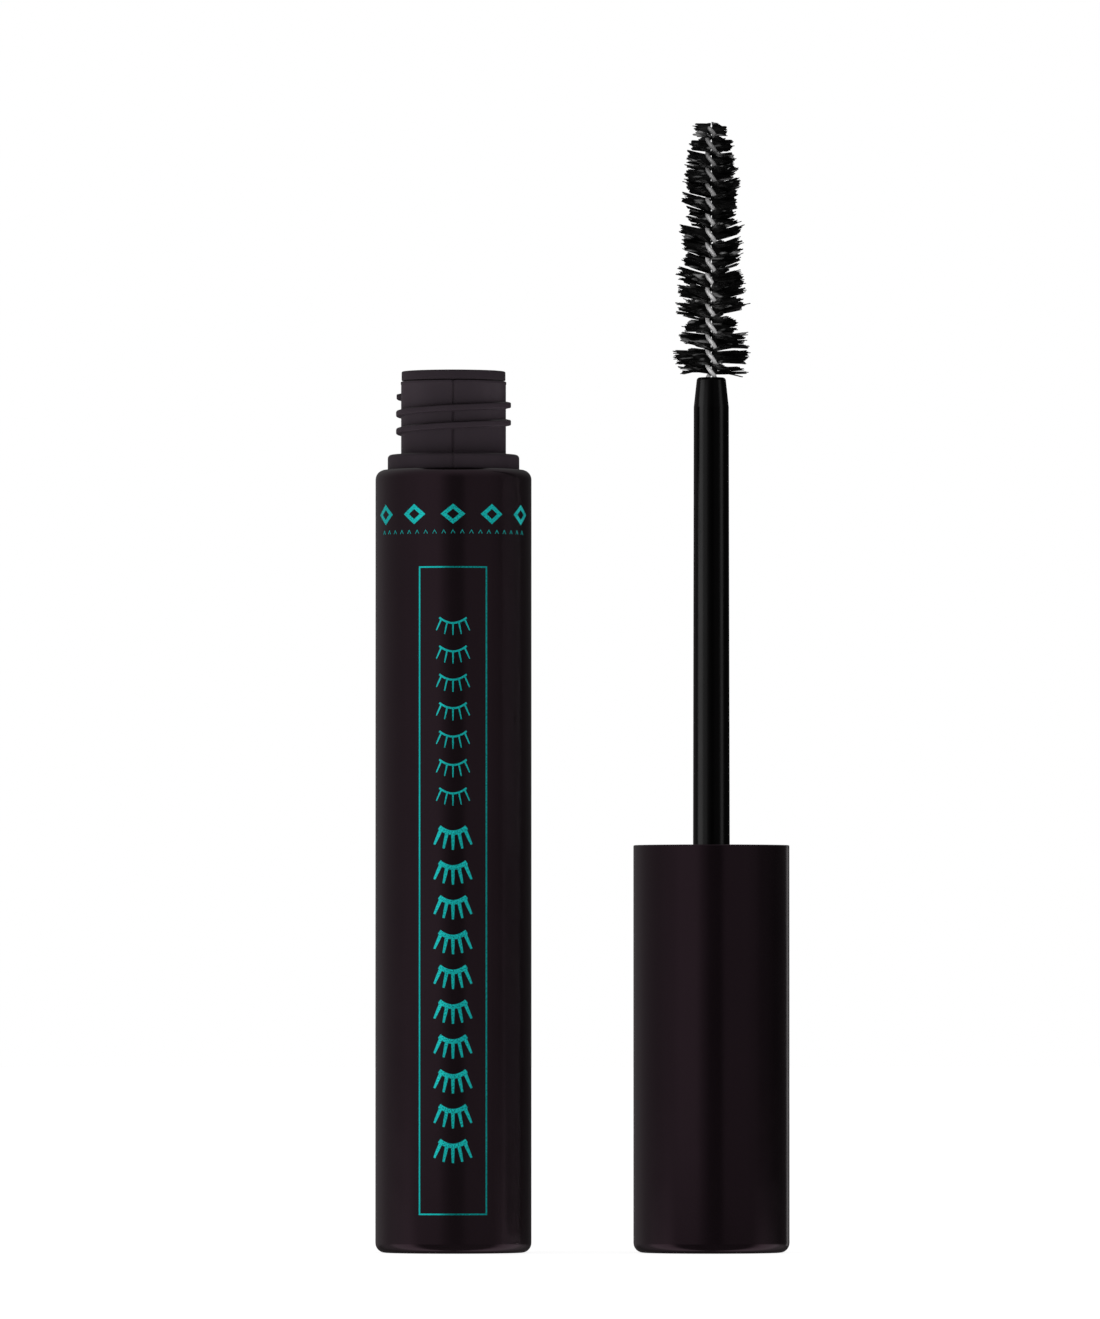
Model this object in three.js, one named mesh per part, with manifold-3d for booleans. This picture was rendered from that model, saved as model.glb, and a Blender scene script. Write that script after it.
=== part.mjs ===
// A mascara, open: the double-walled tube stands on its base, and the cap stands beside it on its closed end
// with the wand and the brush pointing up. Millimetres, +Z up, origin at the centre of the tube's base.
import * as THREE from 'three';
import { mergeVertices } from 'three/addons/utils/BufferGeometryUtils.js';
import Module from 'manifold-3d';

const wasm = await Module();
wasm.setup();

// Driving dimensions.
const CASE_R = 8; // outside radius of the tube and of the cap
const EDGE_R = 1; // rounding of the closed ends and of the tube's shoulder
const WALL = 1.1; // wall of the tube's shell and of the cap's shell
const FLOOR = 1.3; // thickness of their closed ends
const TUBE_H = 80.25;
const CAP_H = 41.75;
const SPACING = 26.45; // from the tube's axis to the cap's axis
const GAP = 0.08; // between two pieces that are pushed together

// The inner bottle: a plain body, a collar that the cap slides over, and a threaded neck.
const BOTTLE_R = 6.75;
const BOTTLE_WALL = 0.9;
const COLLAR_TOP = 81.8;
const COLLAR_EDGE_R = 0.5;
const NECK_R = 5.38;
const NECK_TOP = 89.3;
const NECK_BORE_R = 4.2;
const NECK_BORE_FOOT = 79.2; // where the bore starts to widen into the body

// The neck's thread: right-handed, one start. It starts behind the -X side and ends on it, two turns higher.
const PITCH = 1.8;
const THREAD_TURNS = 2.1;
const THREAD_START = THREE.MathUtils.degToRad(144);
const THREAD_FOOT = 84.02;
const THREAD_R = 5.9;
const THREAD_ROOT = 0.8; // height of the ridge where it meets the neck
const THREAD_CREST = 0.5;
const THREAD_BITE = 0.35; // how far the ridge reaches into the wall that carries it

// The wiper: a flanged sleeve pushed into the neck, with a thin lip that strips the wand.
const FLANGE_R = 5.33;
const FLANGE_H = 0.95;
const FLANGE_SEAT = NECK_TOP + 0.1;
const WIPER_TOP = FLANGE_SEAT + FLANGE_H;
const WIPER_R = NECK_BORE_R - GAP;
const WIPER_BORE_R = 3.4;
const WIPER_CONE_TOP = 84;
const WIPER_LIP_R = 2;
const WIPER_FOOT = 79.4;
const WIPER_LIP_WALL = 0.4;
const WIPER_LEAD = 0.4; // chamfer round its mouth

// The formula's level with the wand out.
const FORMULA_TOP = 62;
const FORMULA_DIP = 3; // depth of the hollow that the brush leaves in it
const FORMULA_LIP = 1; // how far it falls between the bottle's wall and the hollow

// The cap's liner, counted from the cap's closed end. The collar fits in the space above its rim.
const LINER_FOOT = 16;
const LINER_RIM = CAP_H - 1.95;
const LINER_R = CASE_R - WALL - GAP;
const LINER_THREAD_ROOT_R = 6.05;
const LINER_THREAD_R = 5.52;
const LINER_THREAD_TURNS = 1.75;
const LINER_THREAD_FOOT = 34.5;
const LINER_WEB_TOP = 30.2; // upper face of the wall that carries the wand
const LINER_WEB_H = 1.6;
const LINER_SKIRT_R = 5.95; // inside radius below that wall
const SOCKET_R = 3.9;
const SOCKET_BORE_R = 2.6;
const SOCKET_FOOT = 21.5;
const FIN_COUNT = 4;
const FIN_THICK = 0.8;

// Ribs inside the cap's shell that the liner stands on.
const RIB_COUNT = 6;
const RIB_THICK = 0.8;
const RIB_DEPTH = 1.2;
const RIB_BITE = 0.55; // how far a rib reaches into the shell's wall

// The wand, counted from the cap's closed end.
const ROD_R = 1.9;
const ROD_TOP_R = 1.8; // at the foot of the tapered tip
const TIP_R = 1.47;
const TIP_EDGE_R = 0.2;
const TIP_FOOT = 86.7;
const ROD_TOP = 89.75;
const SEAL_R = 5.2; // the disc that closes on the wiper
const SEAL_TOP = 31.6;
const PLUG_R = 3.25; // the cone that enters the wiper's mouth
const PLUG_H = 1.4;
const PLUG_TAPER = 0.3; // how much narrower the cone is at its top
const SHANK_R = SOCKET_BORE_R - GAP;
const SHANK_LEAD = 0.5; // how much narrower the shank is at its foot
const BARB_R = 2.95;
const BARB_TOP = SOCKET_FOOT - GAP;
const BARB_H = 1.6;
const SHANK_FOOT = 19;
const WIRE_HOLE_R = 0.66;
const WIRE_HOLE_FOOT = 80;

// The brush: one wire bent double and twisted left-handed, with nylon filaments caught between its legs.
const STRAND_R = 0.29;
const TWIST = 3.1; // length of one full turn
const WIRE_FOOT = 80.4;
const WIRE_TOP = 115.5;
const BRUSH_FOOT = 90.3;
const BRUSH_TOP = 115.7;
const BRUSH_FOOT_R = 3.4;
const BRUSH_TIP_R = 1.5;
const BRUSH_FULLNESS = 3; // the higher it is, the later the brush starts to narrow
const BRUSH_ROUNDING = 0.6; // the lower it is, the rounder the tip
const BRUSH_BORE_R = 0.72; // the filaments' inner edge, just off the wire
const ROW_THICK = 0.8;
const ROW_STARTS = 2; // the filaments leave the wire on both sides
const ROWS_PER_START = 8;
const ROW_TURNS = 0.96; // a row is just under one turn, so that it stays clear of the next

// The printed foil frame on the front of the tube.
const FOIL_THICK = 0.05;
const FOIL_LINE = 0.18;
const FOIL_HALF_ANGLE = THREE.MathUtils.degToRad(25.5);
const FOIL_FOOT = 3.95;
const FOIL_TOP = 70.15;
const FRONT = -Math.PI / 2; // the direction -Y, as an angle round +Z

// Facets of a full turn, of a slender piece, and of each arc of an outline.
const FACETS = 36;
const SLENDER_FACETS = 20;
const ARC_STEPS = 2;
const STRAND_STEPS = 3; // of each arc of the wire's section
const WIRE_STEPS = 8; // of each full turn of the wire's twist
const FOIL_STEPS = 10; // of each curved line of the foil frame

const FULL_TURN = 2 * Math.PI;
const QUARTER = Math.PI / 2;

const plastic = (color, roughness) => new THREE.MeshStandardMaterial({ color, roughness, metalness: 0 });
const metal = (color, roughness) => new THREE.MeshStandardMaterial({ color, roughness, metalness: 1 });
const glossBlack = plastic(0x221b1d, 0.25);
const neckBlack = plastic(0x2b2629, 0.4);
const linerBlack = plastic(0x1a1719, 0.5);
const wiperBlack = plastic(0x2a2528, 0.45);
const rodBlack = plastic(0x101010, 0.3);
const nylonBlack = plastic(0x0b0b0b, 0.55);
const formulaBlack = plastic(0x060606, 0.2);
const steel = metal(0xb4b4b4, 0.3);
const tealFoil = metal(0x1f9c98, 0.3);

const part = new THREE.Group();
const tube = new THREE.Group();
const wand = new THREE.Group();
wand.position.x = SPACING;
part.add(tube, wand);

// Keeps only the positions and joins the vertices that coincide, as a solid needs.
function weld(geometry) {
  const bare = geometry.clone();
  bare.deleteAttribute('normal');
  bare.deleteAttribute('uv');
  return mergeVertices(bare, 1e-4);
}

function addPiece(group, name, geometry, material) {
  const mesh = new THREE.Mesh(weld(geometry), material);
  mesh.name = name;
  mesh.geometry.computeVertexNormals();
  group.add(mesh);
}

// Turns an outline of radius and height round the Z axis. The outline has the solid on its left.
function revolve(outline, facets = FACETS) {
  return new THREE.LatheGeometry(outline.getPoints(ARC_STEPS), facets).rotateX(QUARTER);
}

// Sweeps a section of height (x) and radius (y) round the Z axis, rising by pitch in each turn.
// reach(radius, along) may change a radius at the share along of the way round.
function sweep(section, { turns, pitch = 0, startAngle = 0, startZ = 0, steps, reach = (radius) => radius }) {
  const bar = new THREE.ExtrudeGeometry(section, { depth: 1, steps, bevelEnabled: false });
  const position = bar.attributes.position;
  for (let i = 0; i < position.count; i++) {
    const along = position.getZ(i);
    const radius = reach(position.getY(i), along);
    const angle = startAngle + along * turns * FULL_TURN;
    const height = startZ + along * turns * pitch + position.getX(i);
    position.setXYZ(i, radius * Math.cos(angle), radius * Math.sin(angle), height);
  }
  return bar;
}

function solidOf(geometry) {
  const { index, attributes } = weld(geometry);
  const triVerts = new Uint32Array(index.array);
  return new wasm.Manifold(new wasm.Mesh({ numProp: 3, vertProperties: attributes.position.array, triVerts }));
}

function geometryOf(solid) {
  const { vertProperties, triVerts } = solid.getMesh();
  const geometry = new THREE.BufferGeometry();
  geometry.setAttribute('position', new THREE.BufferAttribute(vertProperties, 3));
  geometry.setIndex(new THREE.BufferAttribute(triVerts, 1));
  return geometry;
}

function join(...geometries) {
  const solids = geometries.map(solidOf);
  return geometryOf(solids.reduce((whole, solid) => whole.add(solid)));
}

// A section from rootR to crestR, root high at rootR and crest high at crestR. Inwards if crestR is the less.
function ridge(rootR, crestR, root, crest) {
  const corners = [
    new THREE.Vector2(-root / 2, rootR),
    new THREE.Vector2(-crest / 2, crestR),
    new THREE.Vector2(crest / 2, crestR),
    new THREE.Vector2(root / 2, rootR),
  ];
  return new THREE.Shape(corners);
}

// A closed cup: rounded outside at its floor, with the open rim at the height given. rim() draws the rim.
function cupOutline(height, floor, outerR, innerR, rim) {
  const outline = new THREE.Path();
  outline.moveTo(0, 0);
  outline.lineTo(outerR - EDGE_R, 0);
  outline.absarc(outerR - EDGE_R, EDGE_R, EDGE_R, -QUARTER, 0, false);
  rim(outline, height);
  outline.lineTo(innerR, floor);
  outline.lineTo(0, floor);
  return outline;
}

function outerShell() {
  const innerR = CASE_R - WALL;
  const shoulder = (outline, height) => {
    outline.lineTo(CASE_R, height - EDGE_R);
    outline.absarc(CASE_R - EDGE_R, height - EDGE_R, EDGE_R, 0, QUARTER, false);
    outline.lineTo(innerR, height);
  };
  return revolve(cupOutline(TUBE_H, FLOOR, CASE_R, innerR, shoulder));
}

function innerBottle() {
  const foot = FLOOR + GAP;
  const cavityR = BOTTLE_R - BOTTLE_WALL;
  const outline = new THREE.Path();
  outline.moveTo(0, foot);
  outline.lineTo(BOTTLE_R - EDGE_R, foot);
  outline.absarc(BOTTLE_R - EDGE_R, foot + EDGE_R, EDGE_R, -QUARTER, 0, false);
  outline.lineTo(BOTTLE_R, COLLAR_TOP - COLLAR_EDGE_R);
  outline.absarc(BOTTLE_R - COLLAR_EDGE_R, COLLAR_TOP - COLLAR_EDGE_R, COLLAR_EDGE_R, 0, QUARTER, false);
  outline.lineTo(NECK_R, COLLAR_TOP);
  outline.lineTo(NECK_R, NECK_TOP);
  outline.lineTo(NECK_BORE_R, NECK_TOP);
  outline.lineTo(NECK_BORE_R, NECK_BORE_FOOT);
  outline.lineTo(cavityR, NECK_BORE_FOOT - (cavityR - NECK_BORE_R));
  outline.lineTo(cavityR, foot + BOTTLE_WALL);
  outline.lineTo(0, foot + BOTTLE_WALL);
  const thread = sweep(ridge(NECK_R - THREAD_BITE, THREAD_R, THREAD_ROOT, THREAD_CREST), {
    turns: THREAD_TURNS,
    pitch: PITCH,
    startAngle: THREAD_START,
    startZ: THREAD_FOOT,
    steps: Math.round(THREAD_TURNS * FACETS),
  });
  return join(revolve(outline), thread);
}

function wiper() {
  const outline = new THREE.Path();
  outline.moveTo(WIPER_LIP_R, WIPER_FOOT);
  outline.lineTo(WIPER_LIP_R + WIPER_LIP_WALL, WIPER_FOOT);
  outline.lineTo(WIPER_R, WIPER_CONE_TOP - WIPER_LIP_WALL);
  outline.lineTo(WIPER_R, FLANGE_SEAT);
  outline.lineTo(FLANGE_R, FLANGE_SEAT);
  outline.lineTo(FLANGE_R, WIPER_TOP);
  outline.lineTo(WIPER_BORE_R + WIPER_LEAD, WIPER_TOP);
  outline.lineTo(WIPER_BORE_R, WIPER_TOP - WIPER_LEAD);
  outline.lineTo(WIPER_BORE_R, WIPER_CONE_TOP);
  outline.lineTo(WIPER_LIP_R, WIPER_FOOT);
  return revolve(outline);
}

function mascaraFormula() {
  const radius = BOTTLE_R - BOTTLE_WALL - GAP;
  const foot = FLOOR + BOTTLE_WALL + 2 * GAP;
  const outline = new THREE.Path();
  outline.moveTo(0, foot);
  outline.lineTo(radius, foot);
  outline.lineTo(radius, FORMULA_TOP);
  outline.lineTo(BRUSH_FOOT_R, FORMULA_TOP - FORMULA_LIP);
  outline.lineTo(0, FORMULA_TOP - FORMULA_DIP);
  return revolve(outline);
}

// Two curved lines and two upright ones, joined at the corners.
function foilFrame() {
  const innerR = CASE_R + FOIL_THICK / 2;
  const outerR = innerR + FOIL_THICK;
  const height = FOIL_TOP - FOIL_FOOT;
  const lineTurns = FOIL_LINE / (FULL_TURN * CASE_R);
  const line = (high, turns, startAngle, middle, steps) =>
    sweep(ridge(innerR, outerR, high, high), { turns, startAngle, startZ: middle, steps });
  const curved = (middle) => {
    const turns = (2 * FOIL_HALF_ANGLE) / FULL_TURN;
    return line(FOIL_LINE, turns, FRONT - FOIL_HALF_ANGLE, middle, FOIL_STEPS);
  };
  const upright = (startAngle) => line(height, lineTurns, startAngle, (FOIL_FOOT + FOIL_TOP) / 2, 1);
  return join(
    curved(FOIL_FOOT + FOIL_LINE / 2),
    curved(FOIL_TOP - FOIL_LINE / 2),
    upright(FRONT - FOIL_HALF_ANGLE),
    upright(FRONT + FOIL_HALF_ANGLE - lineTurns * FULL_TURN),
  );
}

// A box from innerR to outerR and from foot to top, standing at an angle round the axis.
function radialPlate(innerR, outerR, foot, top, thick, angle) {
  return new THREE.BoxGeometry(outerR - innerR, thick, top - foot)
    .translate((innerR + outerR) / 2, 0, (foot + top) / 2)
    .rotateZ(angle);
}

function ringOf(count, plate) {
  return Array.from({ length: count }, (_, i) => plate((i * FULL_TURN) / count));
}

function capShell() {
  const innerR = CASE_R - WALL;
  const rim = (outline, height) => {
    outline.lineTo(CASE_R, height);
    outline.lineTo(innerR, height);
  };
  const ribs = ringOf(RIB_COUNT, (angle) =>
    radialPlate(innerR - RIB_DEPTH, innerR + RIB_BITE, FLOOR - GAP, LINER_FOOT - GAP, RIB_THICK, angle),
  );
  return join(revolve(cupOutline(CAP_H, FLOOR, CASE_R, innerR, rim)), ...ribs);
}

function capLiner() {
  const webFoot = LINER_WEB_TOP - LINER_WEB_H;
  const outline = new THREE.Path();
  outline.moveTo(SOCKET_BORE_R, SOCKET_FOOT);
  outline.lineTo(SOCKET_R, SOCKET_FOOT);
  outline.lineTo(SOCKET_R, webFoot);
  outline.lineTo(LINER_SKIRT_R, webFoot);
  outline.lineTo(LINER_SKIRT_R, LINER_FOOT);
  outline.lineTo(LINER_R, LINER_FOOT);
  outline.lineTo(LINER_R, LINER_RIM);
  outline.lineTo(LINER_THREAD_ROOT_R, LINER_RIM);
  outline.lineTo(LINER_THREAD_ROOT_R, LINER_WEB_TOP);
  outline.lineTo(SOCKET_BORE_R, LINER_WEB_TOP);
  outline.lineTo(SOCKET_BORE_R, SOCKET_FOOT);
  const thread = sweep(ridge(LINER_THREAD_ROOT_R + THREAD_BITE, LINER_THREAD_R, THREAD_ROOT, THREAD_CREST), {
    turns: LINER_THREAD_TURNS,
    pitch: PITCH,
    startZ: LINER_THREAD_FOOT,
    steps: LINER_THREAD_TURNS * FACETS,
  });
  const fins = ringOf(FIN_COUNT, (angle) =>
    radialPlate(SOCKET_R - GAP, LINER_SKIRT_R + GAP, SOCKET_FOOT, webFoot + GAP, FIN_THICK, angle),
  );
  return join(revolve(outline), thread, ...fins);
}

function wandRod() {
  const sealFoot = LINER_WEB_TOP + GAP;
  const outline = new THREE.Path();
  outline.moveTo(0, SHANK_FOOT);
  outline.lineTo(SHANK_R - SHANK_LEAD, SHANK_FOOT);
  outline.lineTo(BARB_R, BARB_TOP - BARB_H / 2);
  outline.lineTo(BARB_R, BARB_TOP);
  outline.lineTo(SHANK_R, BARB_TOP);
  outline.lineTo(SHANK_R, sealFoot);
  outline.lineTo(SEAL_R, sealFoot);
  outline.lineTo(SEAL_R, SEAL_TOP);
  outline.lineTo(PLUG_R, SEAL_TOP);
  outline.lineTo(PLUG_R - PLUG_TAPER, SEAL_TOP + PLUG_H);
  outline.lineTo(ROD_R, SEAL_TOP + PLUG_H);
  outline.lineTo(ROD_TOP_R, TIP_FOOT);
  outline.lineTo(TIP_R, ROD_TOP - TIP_EDGE_R);
  outline.lineTo(TIP_R - TIP_EDGE_R, ROD_TOP);
  outline.lineTo(WIRE_HOLE_R, ROD_TOP);
  outline.lineTo(WIRE_HOLE_R, WIRE_HOLE_FOOT);
  outline.lineTo(0, WIRE_HOLE_FOOT);
  return revolve(outline, SLENDER_FACETS);
}

// Two strands side by side, twisted about their common axis.
function brushWire() {
  const waist = STRAND_R / 4;
  const lean = Math.asin(waist / STRAND_R);
  const section = new THREE.Shape();
  section.absarc(STRAND_R, 0, STRAND_R, -Math.PI + lean, Math.PI - lean, false);
  section.absarc(-STRAND_R, 0, STRAND_R, lean, FULL_TURN - lean, false);
  const length = WIRE_TOP - WIRE_FOOT;
  const steps = Math.round((WIRE_STEPS * length) / TWIST);
  const settings = { depth: length, steps, curveSegments: STRAND_STEPS, bevelEnabled: false };
  const pair = new THREE.ExtrudeGeometry(section, settings);
  const position = pair.attributes.position;
  for (let i = 0; i < position.count; i++) {
    const x = position.getX(i);
    const y = position.getY(i);
    const height = WIRE_FOOT + position.getZ(i);
    const cos = Math.cos(twistAngle(height) + QUARTER);
    const sin = Math.sin(twistAngle(height) + QUARTER);
    position.setXYZ(i, x * cos - y * sin, x * sin + y * cos, height);
  }
  return pair;
}

// The direction in which the filaments leave the wire at a height.
function twistAngle(height) {
  return (-FULL_TURN * (height - BRUSH_FOOT)) / TWIST;
}

// The brush's outside radius: nearly straight, with a rounded tip.
function brushRadius(height) {
  const share = THREE.MathUtils.clamp((height - BRUSH_FOOT) / (BRUSH_TOP - BRUSH_FOOT), 0, 1);
  return BRUSH_TIP_R + (BRUSH_FOOT_R - BRUSH_TIP_R) * (1 - share ** BRUSH_FULLNESS) ** BRUSH_ROUNDING;
}

// One turn of the filaments on one side of the wire, swept downwards so that it is left-handed.
function bristleRow(start, turn) {
  const top = BRUSH_FOOT + (turn + 1) * TWIST;
  const rise = -TWIST * ROW_TURNS;
  return sweep(ridge(BRUSH_BORE_R, BRUSH_FOOT_R, ROW_THICK, ROW_THICK), {
    turns: ROW_TURNS,
    pitch: -TWIST,
    startAngle: twistAngle(top) + (start * FULL_TURN) / ROW_STARTS,
    startZ: top,
    steps: SLENDER_FACETS,
    reach: (radius, along) => Math.min(radius, brushRadius(top + rise * along)),
  });
}

addPiece(tube, 'outer_shell', outerShell(), glossBlack);
addPiece(tube, 'inner_bottle', innerBottle(), neckBlack);
addPiece(tube, 'wiper', wiper(), wiperBlack);
addPiece(tube, 'mascara_formula', mascaraFormula(), formulaBlack);
addPiece(tube, 'foil_frame', foilFrame(), tealFoil);
addPiece(wand, 'cap_shell', capShell(), glossBlack);
addPiece(wand, 'cap_liner', capLiner(), linerBlack);
addPiece(wand, 'wand_rod', wandRod(), rodBlack);
addPiece(wand, 'brush_wire', brushWire(), steel);
for (let turn = 0; turn < ROWS_PER_START; turn++) {
  for (let start = 0; start < ROW_STARTS; start++) {
    const number = String(turn * ROW_STARTS + start + 1).padStart(2, '0');
    addPiece(wand, `bristle_row_${number}`, bristleRow(start, turn), nylonBlack);
  }
}

export default part;
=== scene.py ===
"""An open mascara: the tube on its base, and beside it the cap, with its wand and brush pointing up.

Shapes are worked out in millimetres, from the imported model's boxes and the sizes below, and turned into
metres where a mesh is made.
"""

import math
import random

import bmesh
import bpy
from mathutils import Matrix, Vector


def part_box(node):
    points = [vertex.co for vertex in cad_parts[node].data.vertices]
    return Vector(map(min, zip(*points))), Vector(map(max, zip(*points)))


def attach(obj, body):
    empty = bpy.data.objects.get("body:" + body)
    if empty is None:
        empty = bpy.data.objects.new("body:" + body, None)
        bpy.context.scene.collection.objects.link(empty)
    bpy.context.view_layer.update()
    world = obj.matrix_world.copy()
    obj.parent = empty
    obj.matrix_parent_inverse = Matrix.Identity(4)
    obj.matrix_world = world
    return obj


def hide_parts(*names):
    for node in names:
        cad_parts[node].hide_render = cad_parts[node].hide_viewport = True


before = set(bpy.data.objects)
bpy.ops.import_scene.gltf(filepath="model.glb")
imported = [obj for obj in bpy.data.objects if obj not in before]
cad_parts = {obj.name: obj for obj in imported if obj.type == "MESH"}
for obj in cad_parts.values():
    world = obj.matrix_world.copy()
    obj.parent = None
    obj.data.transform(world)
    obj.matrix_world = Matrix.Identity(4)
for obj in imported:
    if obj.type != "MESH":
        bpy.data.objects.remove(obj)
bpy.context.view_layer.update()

MM = 0.001


def box_mm(node):
    low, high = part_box(node)
    return low / MM, high / MM


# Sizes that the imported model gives, in millimetres.
CASE_LOW, CASE_HIGH = box_mm("outer_shell")
CAP_LOW, CAP_HIGH = box_mm("cap_shell")
BOTTLE_LOW, BOTTLE_HIGH = box_mm("inner_bottle")
WIPER_LOW, WIPER_HIGH = box_mm("wiper")
FORMULA_LOW, FORMULA_HIGH = box_mm("mascara_formula")
FRAME_LOW, FRAME_HIGH = box_mm("foil_frame")
LINER_LOW, LINER_HIGH = box_mm("cap_liner")
ROD_LOW, ROD_HIGH = box_mm("wand_rod")
WIRE_LOW, WIRE_HIGH = box_mm("brush_wire")
TUBE_AXIS = (0.0, 0.0)
WAND_AXIS = ((CAP_LOW.x + CAP_HIGH.x) / 2, 0.0)
CASE_R = (CASE_HIGH.x - CASE_LOW.x) / 2
BOTTLE_R = (BOTTLE_HIGH.x - BOTTLE_LOW.x) / 2
FLANGE_R = (WIPER_HIGH.x - WIPER_LOW.x) / 2
FORMULA_R = (FORMULA_HIGH.x - FORMULA_LOW.x) / 2
LINER_R = (LINER_HIGH.x - LINER_LOW.x) / 2
SEAL_R = (ROD_HIGH.x - ROD_LOW.x) / 2

# Sizes inside those boxes: the CAD model's, or close to them.
EDGE_R = 1.0  # rounding of the closed ends and of the tube's shoulder
WALL = 1.1
FLOOR = 1.3
GAP = 0.08  # between two pieces that are pushed together
BITE = 0.1  # how far a fin reaches into what carries it, and a rib into the floor
SETBACK = 0.1  # and how far their free ends stay back
MOUTH_GAP = 0.05  # between the case's mouth and the bottle
MOUTH_LIP = 0.6  # height of that mouth
COLLAR_TOP = 81.8
NECK_R = 5.38
NECK_BORE_R = 4.2
NECK_BORE_FOOT = 79.2
PARTING_DEPTH = 0.22
BOTTLE_WALL = 0.9
PITCH = 1.8
THREAD_FOOT = 84.02
THREAD_TURNS = 2.1
THREAD_START = math.radians(144)
THREAD_REACH = 0.52  # how far the ridge stands out of the wall
THREAD_BITE = 0.3  # how far it reaches into the wall, as a share of that
THREAD_ROOT = 0.82  # height of the ridge where it meets the wall
THREAD_CREST = 0.54
THREAD_EDGE_R = 0.14
THREAD_END = 0.02  # how soon the ridge runs out at an end, in turns
WIPER_SEAT_GAP = 0.1
WIPER_BORE_R = 3.4
WIPER_LEAD = 0.4  # chamfer round its mouth
WIPER_CONE_TOP = 84.0
WIPER_LIP_R = 2.0
WIPER_LIP_WALL = 0.3
FORMULA_DIP = 3.0  # depth of the hollow that the brush leaves in the formula
FORMULA_DIP_R = 3.2
LINER_BORE_R = 6.05
LINER_WEB_TOP = 30.2
LINER_WEB_H = 1.6
LINER_SKIRT_R = 5.95
LINER_THREAD_FOOT = 34.5
LINER_THREAD_TURNS = 1.75
SOCKET_R = 3.9
SOCKET_BORE_R = 2.6
SOCKET_FOOT = 21.5
FIN_COUNT = 4
FIN_THICK = 0.8
RIB_COUNT = 6
RIB_DEPTH = 1.2
SEAL_TOP = 31.6
PLUG_R = 3.25
PLUG_H = 1.4
PLUG_TAPER = 0.3
SHANK_LEAD = 0.5  # how much narrower the shank is at its foot
BARB_R = 2.95
BARB_H = 0.8
ROD_R = 1.9
ROD_TOP_R = 1.8
ROD_TIP_R = 1.47
ROD_TIP_FOOT = 86.7
WIRE_HOLE_R = 0.66
WIRE_HOLE_FOOT = 80.0
TWIST = 3.1  # length of one full turn of the wire
BRUSH_FOOT = 90.3
TURNS = 8
SIDES = 2

FRONT = -math.pi / 2
TURN_STEPS = 192  # of each turned shape
ARC_STEPS = 6  # of each rounding in an outline
THREAD_STEPS = 72  # of each turn of a thread
WIRE_STEPS = 28  # of each turn of the wire


# ------------------------------------------------------------------------------------ mesh building


def around(axis, radius, angle, height):
    """The point at a radius, an angle and a height round an upright axis."""
    return (axis[0] + radius * math.cos(angle), axis[1] + radius * math.sin(angle), height)


def rounded(corners, closed=False):
    """The outline through corners of (radius, height, rounding), each cut off by an arc."""
    outline = []
    last = len(corners) - 1
    for i, (x, z, rounding) in enumerate(corners):
        corner = Vector((x, z))
        if rounding == 0 or (not closed and i in (0, last)):
            outline.append(tuple(corner))
            continue
        before = (Vector(corners[i - 1][:2]) - corner).normalized()
        after = (Vector(corners[(i + 1) % len(corners)][:2]) - corner).normalized()
        half = before.angle(after) / 2
        middle = corner + (before + after).normalized() * rounding / math.sin(half)
        start = corner + before * rounding / math.tan(half) - middle
        end = corner + after * rounding / math.tan(half) - middle
        sweep = start.angle_signed(end)
        for step in range(ARC_STEPS + 1):
            turn = -sweep * step / ARC_STEPS
            c, s = math.cos(turn), math.sin(turn)
            outline.append((middle.x + start.x * c - start.y * s, middle.y + start.x * s + start.y * c))
    return outline


def lathe(outline, axis, closed=False, dent=None):
    """The outline turned round an upright axis. dent(angle, radius, height) is taken off the radius."""
    vertices, faces, rings = [], [], []
    for radius, height in outline:
        first = len(vertices)
        if radius == 0:
            vertices.append((axis[0], axis[1], height))
            rings.append([first] * TURN_STEPS)
            continue
        for step in range(TURN_STEPS):
            angle = 2 * math.pi * step / TURN_STEPS
            depth = dent(angle, radius, height) if dent else 0
            vertices.append(around(axis, radius - depth, angle, height))
        rings.append(list(range(first, first + TURN_STEPS)))
    pairs = list(zip(rings, rings[1:]))
    if closed:
        pairs.append((rings[-1], rings[0]))
    for low, high in pairs:
        for step in range(TURN_STEPS):
            following = (step + 1) % TURN_STEPS
            corners = (low[step], low[following], high[following], high[step])
            face = tuple(dict.fromkeys(corners))
            if len(face) > 2:
                faces.append(face)
    return vertices, faces


def rod_along(path, radii, sides, up=Vector((0, 0, 1))):
    """A round bar along a path, with closed ends and a radius for each point of the path.

    up is any direction that the path doesn't start in.
    """
    vertices, faces = [], []
    normal = None
    for i, point in enumerate(path):
        ahead = path[min(i + 1, len(path) - 1)] - path[max(i - 1, 0)]
        ahead.normalize()
        if normal is None:
            normal = ahead.cross(up)
        normal = (normal - ahead * normal.dot(ahead)).normalized()
        across = ahead.cross(normal)
        for side in range(sides):
            angle = 2 * math.pi * side / sides
            outwards = normal * math.cos(angle) + across * math.sin(angle)
            vertices.append(tuple(point + outwards * radii[i]))
    for ring in range(len(path) - 1):
        for side in range(sides):
            a = ring * sides + side
            b = ring * sides + (side + 1) % sides
            faces.append((a, b, b + sides, a + sides))
    faces.append(tuple(range(sides - 1, -1, -1)))
    faces.append(tuple(range(len(vertices) - sides, len(vertices))))
    return vertices, faces


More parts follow.
